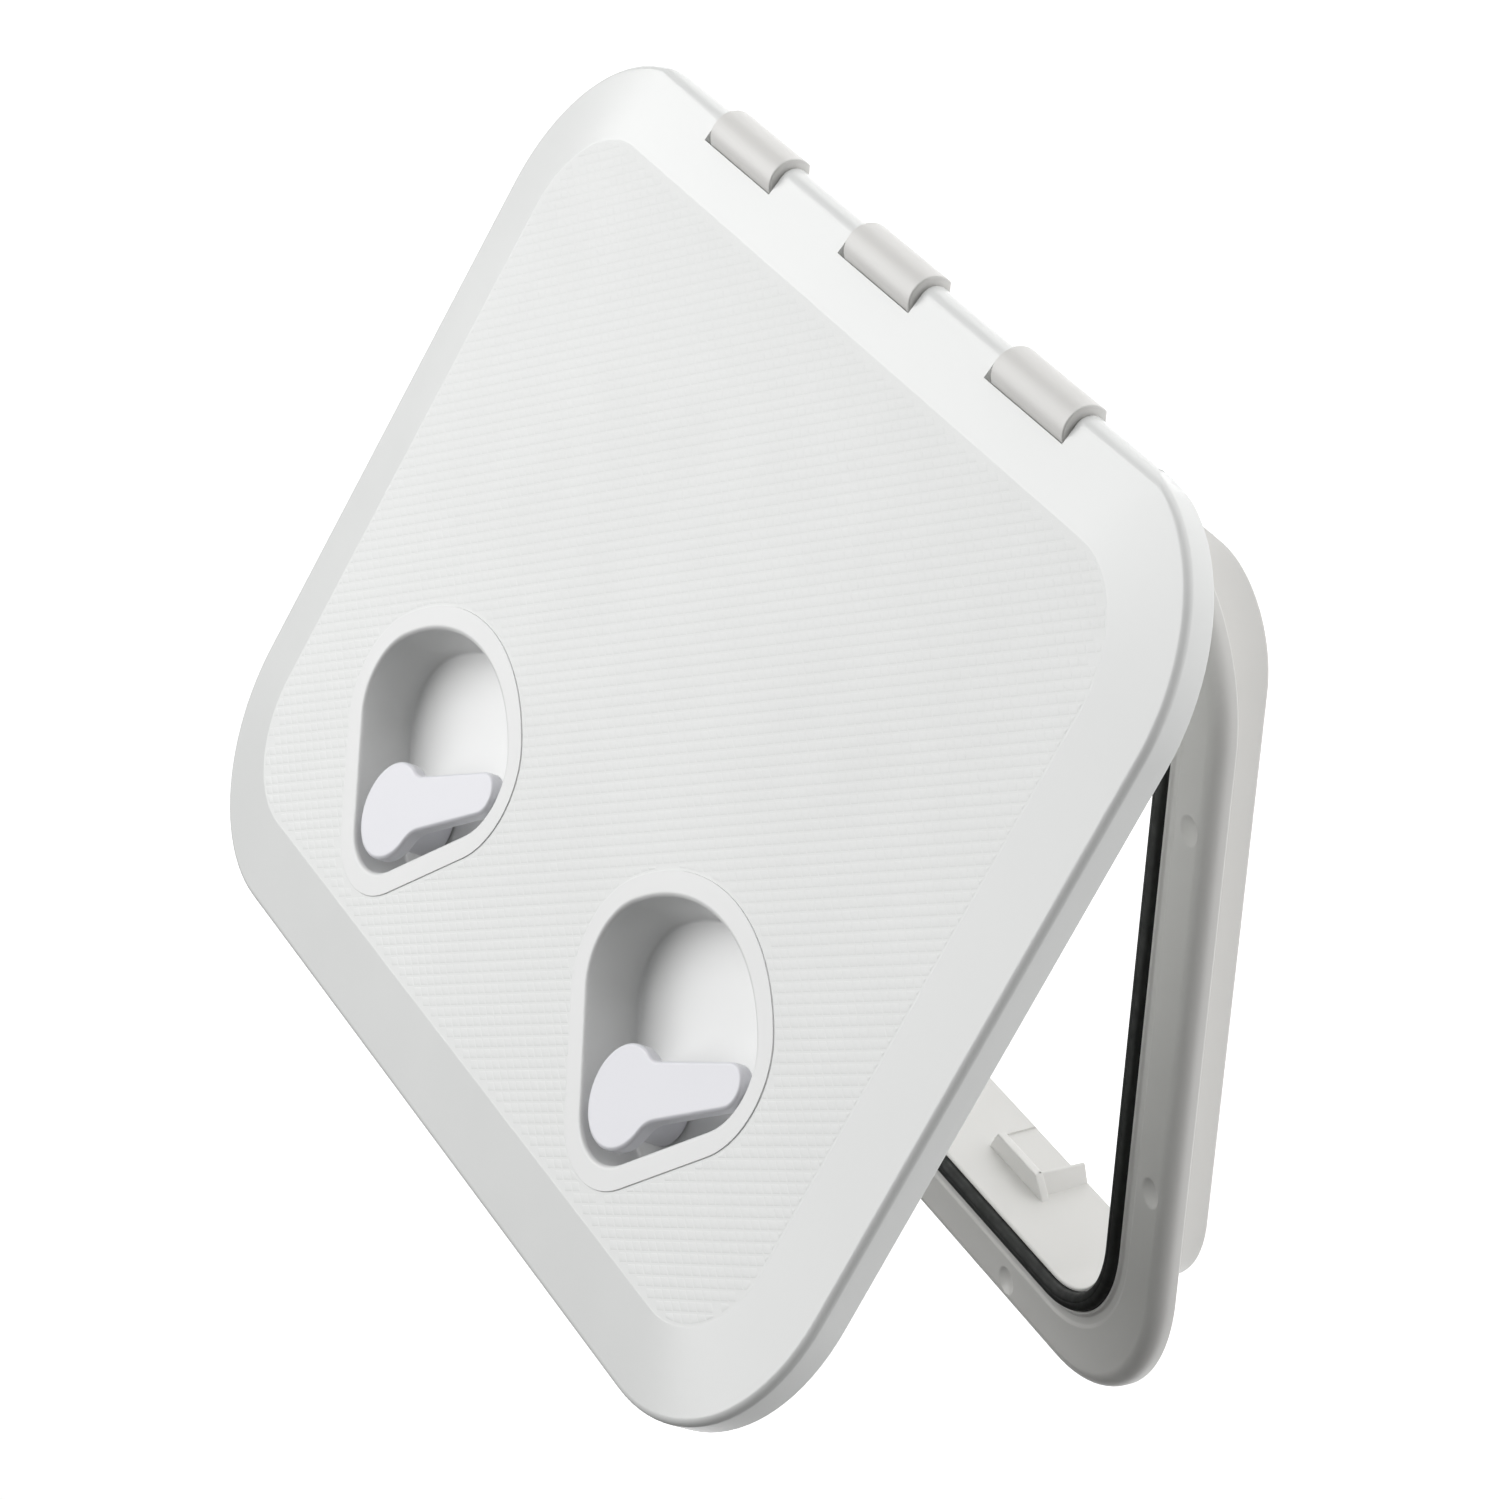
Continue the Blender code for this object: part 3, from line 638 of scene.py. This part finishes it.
def striker_plate(pivot, root_x, edge_x, height):
    """A plate that grows out of the front wall, with softened edges."""
    sections = []
    for z, inset in softened(height[0], height[1], 0.4):
        outline = (
            (pivot + root_x[0] + inset, STRIKER_ROOT_Y),
            (pivot + root_x[1] - inset, STRIKER_ROOT_Y),
            (pivot + edge_x[1] - inset, STRIKER_REACH_Y - inset - 0.3),
            (pivot + edge_x[1] - inset - 0.3, STRIKER_REACH_Y - inset),
            (pivot + edge_x[0] + inset + 0.3, STRIKER_REACH_Y - inset),
            (pivot + edge_x[0] + inset, STRIKER_REACH_Y - inset - 0.3),
        )
        sections.append(level(outline, z))
    return loft(sections)


def make_gasket():
    """A D-shaped strip with a fine moulding line along its crown."""
    rings = [
        seal_ring(0.0, GASKET_BOTTOM_Z),
        seal_ring(0.0, GASKET_TOP_Z - 1.6),
        seal_ring(0.18, GASKET_TOP_Z - 0.95),
        seal_ring(0.55, GASKET_TOP_Z - 0.45),
        seal_ring(1.1, GASKET_TOP_Z - 0.13),
        seal_ring(1.8, GASKET_TOP_Z),
        seal_ring(2.3, GASKET_TOP_Z),
        seal_ring(2.42, GASKET_TOP_Z - 0.12),
        seal_ring(2.54, GASKET_TOP_Z),
        seal_ring(3.1, GASKET_TOP_Z),
        seal_ring(3.8, GASKET_TOP_Z - 0.13),
        seal_ring(4.35, GASKET_TOP_Z - 0.45),
        seal_ring(4.72, GASKET_TOP_Z - 0.95),
        seal_ring(GASKET_W, GASKET_TOP_Z - 1.6),
        seal_ring(GASKET_W, GASKET_BOTTOM_Z),
    ]
    obj = solid("gasket_strip", loft(rings, closed=True))
    identity = Matrix.Identity(4)
    finish_piece(obj, identity, "frame", [RUBBER], ["frame_gasket"], 60)


# ---------------------------------------------------------------- lid


def lid_shell_shape():
    slope = math.atan2(BORDER_DROP, BORDER_W)
    fillet_z = PANEL_Z - BORDER_DROP - EDGE_R * math.tan((math.pi / 2 - slope) / 2)
    rings = [lid_ring(BORDER_W, TREAD_FLOOR_Z), lid_ring(BORDER_W - 0.25, PANEL_Z)]
    for step in range(9):
        angle = (math.pi / 2 - slope) * (1 - step / 8)
        inset = EDGE_R * (1 - math.cos(angle))
        rings.append(lid_ring(inset, fillet_z + EDGE_R * math.sin(angle)))
    rings += [
        lid_ring(0.0, SKIRT_BOTTOM_Z + 0.5),
        lid_ring(0.15, SKIRT_BOTTOM_Z + 0.15),
        lid_ring(0.5, SKIRT_BOTTOM_Z),
        lid_ring(SKIRT_T - 0.4, SKIRT_BOTTOM_Z),
        lid_ring(SKIRT_T, SKIRT_BOTTOM_Z + 0.4),
        lid_ring(SKIRT_T, UNDER_SLOPE_Z - 0.8),
        lid_ring(SKIRT_T + 0.9, UNDER_SLOPE_Z + 0.2),
        lid_ring(UNDER_FLAT_IN, PLATE_UNDER_Z),
        seal_ring(GASKET_W + 0.6, PLATE_UNDER_Z),
        seal_ring(GASKET_W + 0.5, SEAL_RIB_Z),
        seal_ring(-0.5, SEAL_RIB_Z),
        seal_ring(-0.6, PLATE_UNDER_Z),
    ]
    return loft(rings)


def hinge_steps():
    """The Boolean steps that turn the back edge into a bead with three slots."""
    tangent_deg = 90 - math.degrees(math.atan2(BORDER_DROP, BORDER_W))
    outside = (
        arc(HINGE_Y, HINGE_Z, 30.0, tangent_deg, tangent_deg, 1)[:1]
        + arc(HINGE_Y, HINGE_Z, BEAD_R, tangent_deg, -90, 35)
        + [(HINGE_Y, -10.0), (HINGE_Y + 20.0, -10.0), (HINGE_Y + 20.0, 30.0)]
    )
    reach = LID_HALF_X + 5
    bead = circle(HINGE_Y, HINGE_Z, BEAD_R - BEAD_COVER, 64)
    tubes = []
    for centre in (-SLOT_PITCH, 0.0, SLOT_PITCH):
        outer = circle(HINGE_Y, HINGE_Z, SLOT_R, 64)
        bore = circle(HINGE_Y, HINGE_Z, BAR_R, 64)
        low, high = centre - SLOT_W / 2, centre + SLOT_W / 2
        corners = ((outer, low), (outer, high), (bore, high), (bore, low))
        tubes.append(loft([[(x, y, z) for y, z in outline] for outline, x in corners], closed=True))
    return [
        ("DIFFERENCE", along_x(((-reach, outside), (reach, outside)))),
        ("UNION", along_x(((-BEAD_HALF_X, bead), (BEAD_HALF_X, bead)))),
        ("DIFFERENCE", joined(tubes)),
    ]


def rib_steps():
    long_ribs = [
        box(
            (-LONG_RIB_HALF_X, y - RIB_T / 2, RIB_BOTTOM_Z),
            (LONG_RIB_HALF_X, y + RIB_T / 2, PLATE_UNDER_Z + 0.8),
        )
        for y in LONG_RIB_Y
    ]
    cross_ribs = [
        box(
            (x - RIB_T / 2, CROSS_RIB_Y[0], RIB_BOTTOM_Z + 0.4),
            (x + RIB_T / 2, CROSS_RIB_Y[1], PLATE_UNDER_Z + 0.6),
        )
        for x in CROSS_RIB_X
    ]
    return [("UNION", joined(long_ribs)), ("UNION", joined(cross_ribs))]


def latch_hole_steps(side):
    pivot_x, pivot_y = latch_pivot(side)

    def around_pivot(offset, z):
        return [(x + pivot_x, y + pivot_y, z) for x, y in recess_outline(offset)]

    hole = loft(
        [
            around_pivot(HOLE_CLEARANCE, 5.0),
            around_pivot(HOLE_CLEARANCE, POCKET_Z),
            around_pivot(RIM_W + POCKET_CLEARANCE, POCKET_Z),
            around_pivot(RIM_W + POCKET_CLEARANCE, 20.0),
        ]
    )
    screw_holes = [
        lathe(((2.3, 8.0), (2.3, 11.8)), 20, (pivot_x + x, pivot_y + y)) for x, y in HOUSING_SCREWS
    ]
    return [("DIFFERENCE", hole), ("DIFFERENCE", joined(screw_holes))]


def panel_depth(x, y):
    """Distance inside the panel's outline and its outward direction at the nearest edge."""
    half_x = LID_HALF_X - BORDER_W
    half_y = LID_HALF_Y - BORDER_W
    radius = LID_CORNER_R - BORDER_W
    over_x = abs(x) - (half_x - radius)
    over_y = abs(y) - (half_y - radius)
    sign_x = math.copysign(1, x)
    sign_y = math.copysign(1, y)
    if over_x > 0 and over_y > 0:
        reach = math.hypot(over_x, over_y)
        return radius - reach, (sign_x * over_x / reach, sign_y * over_y / reach)
    if half_x - abs(x) < half_y - abs(y):
        return half_x - abs(x), (sign_x, 0.0)
    return half_y - abs(y), (0.0, sign_y)


def rim_clearance(x, y, rim):
    """Distance outside a latch rim, and the direction towards it."""
    best = None
    inside = False
    for start, end in zip(rim, rim[1:] + rim[:1]):
        edge_x, edge_y = end[0] - start[0], end[1] - start[1]
        length = edge_x * edge_x + edge_y * edge_y
        share = ((x - start[0]) * edge_x + (y - start[1]) * edge_y) / length
        share = max(0.0, min(1.0, share))
        away_x = start[0] + share * edge_x - x
        away_y = start[1] + share * edge_y - y
        reach = math.hypot(away_x, away_y)
        if best is None or reach < best[0]:
            best = (reach, away_x, away_y)
        if (start[1] > y) != (end[1] > y):
            if x < start[0] + (y - start[1]) * edge_x / edge_y:
                inside = not inside
    reach, away_x, away_y = best
    if reach < 1e-6:
        return 0.0, (1.0, 0.0)
    if inside:
        return -reach, (-away_x / reach, -away_y / reach)
    return reach, (away_x / reach, away_y / reach)


def clip(polygon, direction, limit):
    """The part of a convex polygon where direction . point is below limit."""
    kept = []
    for start, end in zip(polygon, polygon[1:] + polygon[:1]):
        low = direction[0] * start[0] + direction[1] * start[1] - limit
        high = direction[0] * end[0] + direction[1] * end[1] - limit
        if low <= 0:
            kept.append(start)
        if low * high < 0:
            share = low / (low - high)
            kept.append(tuple(a + share * (b - a) for a, b in zip(start, end)))
    return kept


def shrink(polygon, distances):
    """Moves each side of a convex anticlockwise polygon inwards. Empty if nothing is left.

    Sides that rise towards +X move by the first distance, the others by the second.
    """
    sides = []
    for start, end in zip(polygon, polygon[1:] + polygon[:1]):
        run, rise = end[0] - start[0], end[1] - start[1]
        edge = math.hypot(run, rise)
        if edge < 1e-4:
            continue
        outward = (rise / edge, -run / edge)
        distance = distances[0] if run * rise > 0 else distances[1]
        sides.append((outward, outward[0] * start[0] + outward[1] * start[1] - distance))
    shrunk = polygon
    for outward, limit in sides:
        shrunk = clip(shrunk, outward, limit)
        if len(shrunk) < 3:
            return []
    return shrunk


def area(polygon):
    total = 0.0
    for start, end in zip(polygon, polygon[1:] + polygon[:1]):
        total += start[0] * end[1] - end[0] * start[1]
    return total / 2


def tread_shape():
    """Every raised diamond of the non-slip panel, cut off at the border and at the latch rims."""
    rims = []
    for side in ("left", "right"):
        pivot_x, pivot_y = latch_pivot(side)
        outline = recess_outline(RIM_W)[::3]
        rims.append([(x + pivot_x, y + pivot_y) for x, y in outline])
    steps_x = int(2 * LID_HALF_X / DIAMOND_X) + 2
    steps_y = int(2 * LID_HALF_Y / DIAMOND_Y) + 2
    pads = []
    for row in range(-steps_y, steps_y + 1):
        for column in range(-steps_x, steps_x + 1):
            if (row + column) % 2 == 0:
                continue
            x = column * DIAMOND_X / 2
            y = row * DIAMOND_Y / 2
            depth, outward = panel_depth(x, y)
            if depth < -DIAMOND_X / 2:
                continue
            pad = [
                (x + DIAMOND_X / 2, y),
                (x, y + DIAMOND_Y / 2),
                (x - DIAMOND_X / 2, y),
                (x, y - DIAMOND_Y / 2),
            ]
            if depth < DIAMOND_X:
                middle = outward[0] * x + outward[1] * y
                pad = clip(pad, outward, middle + depth - TREAD_MARGIN)
            for rim in rims:
                if len(pad) < 3 or abs(x - rim[0][0]) > 110 or y > 0:
                    continue
                reach, towards = rim_clearance(x, y, rim)
                if reach < DIAMOND_X:
                    middle = towards[0] * x + towards[1] * y
                    pad = clip(pad, towards, middle + reach - TREAD_MARGIN)
            if len(pad) >= 3:
                pads.append(pad)
    shapes = []
    crown_in = [half + chamfer for half, chamfer in zip(GROOVE_HALF_W, TREAD_CHAMFER)]
    for pad in pads:
        foot = shrink(pad, GROOVE_HALF_W)
        crown = shrink(pad, crown_in)
        if len(foot) < 3 or len(crown) != len(foot) or area(crown) < 0.3:
            continue
        shapes.append(loft([level(foot, TREAD_FLOOR_Z - 0.05), level(crown, TREAD_TOP_Z)]))
    return joined(shapes)


def make_lid():
    steps = rib_steps() + latch_hole_steps("left") + latch_hole_steps("right") + hinge_steps()
    obj = solid("lid_moulding", lid_shell_shape(), steps)
    moulding_faces = len(obj.data.polygons)
    add_shape(obj, tread_shape())
    panel = []
    for face in obj.data.polygons:
        heights = [obj.data.vertices[index].co.z / MM for index in face.vertices]
        flat = max(abs(height - TREAD_FLOOR_Z) for height in heights) < 0.01
        panel.append(face.index >= moulding_faces or flat)
    finish_piece(obj, LID_MATRIX, "lid", [LID_GLOSS, LID_TREAD], ["lid"], 40)
    for face in obj.data.polygons:
        face.material_index = int(panel[face.index])


# ---------------------------------------------------------------- latches


def latch_matrix(side):
    pivot_x, pivot_y = latch_pivot(side)
    return LID_MATRIX @ Matrix.Translation((pivot_x * MM, pivot_y * MM, 0))


def make_housing(side):
    rim_z = PANEL_Z + RIM_PROUD
    under_rim_z = POCKET_Z + 0.1
    profile = [
        (-3.0, CUP_UNDER_Z),
        (-2.2, CUP_UNDER_Z + 0.35),
        (-1.6, CUP_UNDER_Z + 1.3),
        (1.3, under_rim_z),
        (RIM_W - 0.1, under_rim_z),
        (RIM_W, under_rim_z + 0.1),
        (RIM_W, rim_z - 0.2),
        (RIM_W - 0.06, rim_z - 0.06),
        (RIM_W - 0.2, rim_z),
    ]
    profile += arc(RIM_FILLET_R, rim_z - RIM_FILLET_R, RIM_FILLET_R, 90, 180, 8)
    profile += [
        (-2.0, CUP_FLOOR_Z + 1.3),
        (-2.15, CUP_FLOOR_Z + 0.7),
        (-2.3, CUP_FLOOR_Z + 0.42),
        (-2.5, CUP_FLOOR_Z + 0.22),
        (-2.8, CUP_FLOOR_Z + 0.07),
        (-3.2, CUP_FLOOR_Z),
    ]
    rings = [level(recess_outline(offset), z) for offset, z in profile]
    bosses = joined([lathe(((2.1, 9.9), (2.1, 12.0)), 20, place) for place in HOUSING_SCREWS])
    steps = [
        ("UNION", lathe(((GUIDE_R, GUIDE_END_Z), (GUIDE_R, CUP_UNDER_Z + 1.0)), 48)),
        ("UNION", bosses),
        ("DIFFERENCE", lathe(((GUIDE_BORE_R, GUIDE_END_Z - 2), (GUIDE_BORE_R, 3.0)), 48)),
    ]
    obj = solid(f"latch_tub_{side}", loft(rings), steps)
    name = f"latch_housing_{side}"
    finish_piece(obj, latch_matrix(side), "lid", [HOUSING], [name], 50)


def cross_recess(low_z, high_z, reach):
    """A cross-shaped driver recess, open towards the lower z."""
    half = reach * 0.22
    tip = reach * 0.55
    arms = []
    for turn in range(2):
        outer = [(-reach, -half), (reach, -half), (reach, half), (-reach, half)]
        inner = [(-tip, -half * 0.7), (tip, -half * 0.7), (tip, half * 0.7), (-tip, half * 0.7)]
        if turn:
            outer = [(-y, x) for x, y in outer]
            inner = [(-y, x) for x, y in inner]
        arms.append(loft([level(outer, low_z), level(inner, high_z)]))
    return arms


def make_housing_screws(side):
    pivot_x, pivot_y = latch_pivot(side)
    profile = (
        (0.6, 7.9),
        (1.5, 8.0),
        (2.2, 8.4),
        (2.55, 9.1),
        (2.6, 9.7),
        (1.1, 9.7),
        (1.1, 12.2),
        (0.5, 12.5),
    )
    for number, (x, y) in enumerate(HOUSING_SCREWS, 1):
        steps = [("DIFFERENCE", arm) for arm in cross_recess(7.0, 9.0, 1.5)]
        obj = solid(f"tub_screw_{side}_{number}", lathe(profile, 28), steps)
        matrix = LID_MATRIX @ Matrix.Translation(((pivot_x + x) * MM, (pivot_y + y) * MM, 0))
        name = f"housing_screw_{side}_{number}"
        finish_piece(obj, matrix, "lid", [STEEL], [name])


def make_handle(side):
    low_z = LEVER_TOP_Z - LEVER_T
    rings = [
        (0.5, low_z),
        (0.15, low_z + 0.15),
        (0.0, low_z + 0.5),
        (0.0, LEVER_TOP_Z - 1.1),
        (0.08, LEVER_TOP_Z - 0.68),
        (0.32, LEVER_TOP_Z - 0.32),
        (0.68, LEVER_TOP_Z - 0.08),
        (1.1, LEVER_TOP_Z),
    ]
    shape = loft([level(lever_outline(inset), z) for inset, z in rings])
    hub = lathe(((HUB_R - 0.4, HUB_END_Z), (HUB_R, HUB_END_Z + 0.4), (HUB_R, low_z + 1.0)), 48)
    obj = solid(f"lever_{side}", shape)
    add_shape(obj, hub)
    name = f"handle_{side}"
    finish_piece(obj, latch_matrix(side), name, [LEVER], [name])


def cam_outline(inset):
    """The tongue lies along -X at rest. Its nose meets the stop fin when the lever is turned."""
    side_deg = math.degrees(math.asin(CAM_HALF_W / CAM_HUB_R))
    corner_r, nose_r = 2.0, 1.8
    return (
        arc(0, 0, CAM_HUB_R - inset, -105, 180 - side_deg, 44)
        + arc(corner_r - CAM_REACH, CAM_HALF_W - corner_r, corner_r - inset, 90, 180, 8)
        + [(inset - CAM_REACH, -5.0)]
        + arc(-13.9, nose_r - CAM_NOSE, nose_r - inset, 200, 270, 8)
    )


def make_cam(side):
    low, high = CAM_Z
    shape = loft([level(cam_outline(inset), z) for z, inset in softened(low, high, 0.5)])
    hole = box((-CAM_SOCKET, -CAM_SOCKET, low - 2), (CAM_SOCKET, CAM_SOCKET, high + 2))
    obj = solid(f"cam_tongue_{side}", shape, [("DIFFERENCE", hole)])
    body = f"handle_{side}"
    finish_piece(obj, latch_matrix(side), body, [LEVER], [f"cam_{side}"])


def washer_shape(inner, outer, height):
    low, high = height
    edge = 0.2
    profile = (
        (inner, low + edge),
        (inner + edge, low),
        (outer - edge, low),
        (outer, low + edge),
        (outer, high - edge),
        (outer - edge, high),
        (inner + edge, high),
        (inner, high - edge),
    )
    return lathe(profile, 48, closed=True)


def make_turned_pieces(side):
    """The washers, the O-ring and the cam screw, all turned about the lever's axis."""
    body = f"handle_{side}"
    matrix = latch_matrix(side)
    obj = solid(f"wear_ring_{side}", washer_shape(6.3, 9.2, WEAR_WASHER_Z))
    finish_piece(obj, matrix, body, [LEVER], [f"wear_washer_{side}"])
    obj = solid(f"cam_disc_{side}", washer_shape(1.8, 7.0, CAM_WASHER_Z))
    finish_piece(obj, matrix, body, [STEEL], [f"cam_washer_{side}"])
    cord = circle(5.42, O_RING_Z, 0.76, 16)
    obj = solid(f"o_ring_{side}", lathe(cord, 48, closed=True))
    finish_piece(obj, matrix, body, [RUBBER], [f"spindle_o_ring_{side}"], 80)
    head_z = CAM_WASHER_Z[0] - 0.1
    profile = (
        (0.8, head_z - 2.4),
        (2.2, head_z - 2.25),
        (3.2, head_z - 1.8),
        (3.85, head_z - 1.0),
        (4.0, head_z),
        (1.4, head_z),
        (1.4, -4.8),
        (0.7, -4.2),
    )
    steps = [("DIFFERENCE", arm) for arm in cross_recess(head_z - 3.2, head_z - 0.8, 2.1)]
    obj = solid(f"cam_fixing_{side}", lathe(profile, 36), steps)
    finish_piece(obj, matrix, body, [STEEL], [f"cam_screw_{side}"])


def paint_carried_nodes():
    """The spindles keep their CAD shape and get the steel."""
    for side in ("left", "right"):
        node = frame["nodes"][f"spindle_{side}"]
        node.data.materials.clear()
        node.data.materials.append(STEEL)


# ---------------------------------------------------------------- stage


def make_floor():
    """A plain pale floor, far enough below that the raised hatch throws only a faint shadow."""
    half, z = FLOOR_HALF_M, FLOOR_Z_M
    corners = ((-half, -half, z), (half, -half, z), (half, half, z), (-half, half, z))
    mesh = bpy.data.meshes.new("floor")
    mesh.from_pydata(corners, [], [(0, 1, 2, 3)])
    floor = bpy.data.objects.new("floor", mesh)
    bpy.context.scene.collection.objects.link(floor)
    material, tree, shader = new_material("pale floor", (0.9, 0.9, 0.9), 0.8)
    tint(tree, shader, noise(tree, 1.5, 2.0), (0.89, 0.89, 0.89), (0.91, 0.91, 0.91))
    shader.inputs["Emission Color"].default_value = (1.0, 1.0, 1.0, 1.0)
    shader.inputs["Emission Strength"].default_value = FLOOR_GLOW
    mesh.materials.append(material)


def direction_to(azimuth_deg, elevation_deg):
    """A unit vector. Azimuth 0 is towards +X, 90 towards +Y."""
    azimuth = math.radians(azimuth_deg)
    elevation = math.radians(elevation_deg)
    return Vector(
        (
            math.cos(elevation) * math.cos(azimuth),
            math.cos(elevation) * math.sin(azimuth),
            math.sin(elevation),
        )
    )


def make_light(name, size, power, azimuth_deg, elevation_deg, distance):
    """A square soft box that faces the hatch."""
    data = bpy.data.lights.new(name, "AREA")
    data.shape = "SQUARE"
    data.size = size
    data.energy = power
    light = bpy.data.objects.new(name, data)
    direction = direction_to(azimuth_deg, elevation_deg)
    light.location = direction * distance
    light.rotation_euler = direction.to_track_quat("Z", "Y").to_euler()
    bpy.context.scene.collection.objects.link(light)


def make_world():
    world = bpy.data.worlds.new("studio")
    world.use_nodes = True
    background = world.node_tree.nodes["Background"]
    background.inputs["Color"].default_value = (1.0, 1.0, 1.0, 1.0)
    background.inputs["Strength"].default_value = SKY_STRENGTH
    bpy.context.scene.world = world


def make_camera():
    data = bpy.data.cameras.new("camera")
    data.lens = CAMERA_LENS
    data.sensor_width = 36.0
    data.clip_end = 20.0
    camera = bpy.data.objects.new("camera", data)
    direction = direction_to(CAMERA_AZIMUTH_DEG, CAMERA_ELEVATION_DEG)
    turn = direction.to_track_quat("Z", "Y").to_matrix().to_4x4()
    roll = Matrix.Rotation(-math.radians(CAMERA_ROLL_DEG), 4, "Z")
    place = Vector(CAMERA_AIM) * MM + direction * CAMERA_DISTANCE * MM
    camera.matrix_world = Matrix.Translation(place) @ turn @ roll
    bpy.context.scene.collection.objects.link(camera)
    bpy.context.scene.camera = camera


make_frame()
make_gasket()
make_lid()
for latch_side in ("left", "right"):
    make_housing(latch_side)
    make_housing_screws(latch_side)
    make_handle(latch_side)
    make_cam(latch_side)
    make_turned_pieces(latch_side)
paint_carried_nodes()
make_floor()
make_world()
make_light("key", *KEY_LIGHT)
make_light("fill", *FILL_LIGHT)
make_camera()
bpy.context.scene.view_settings.view_transform = "Standard"
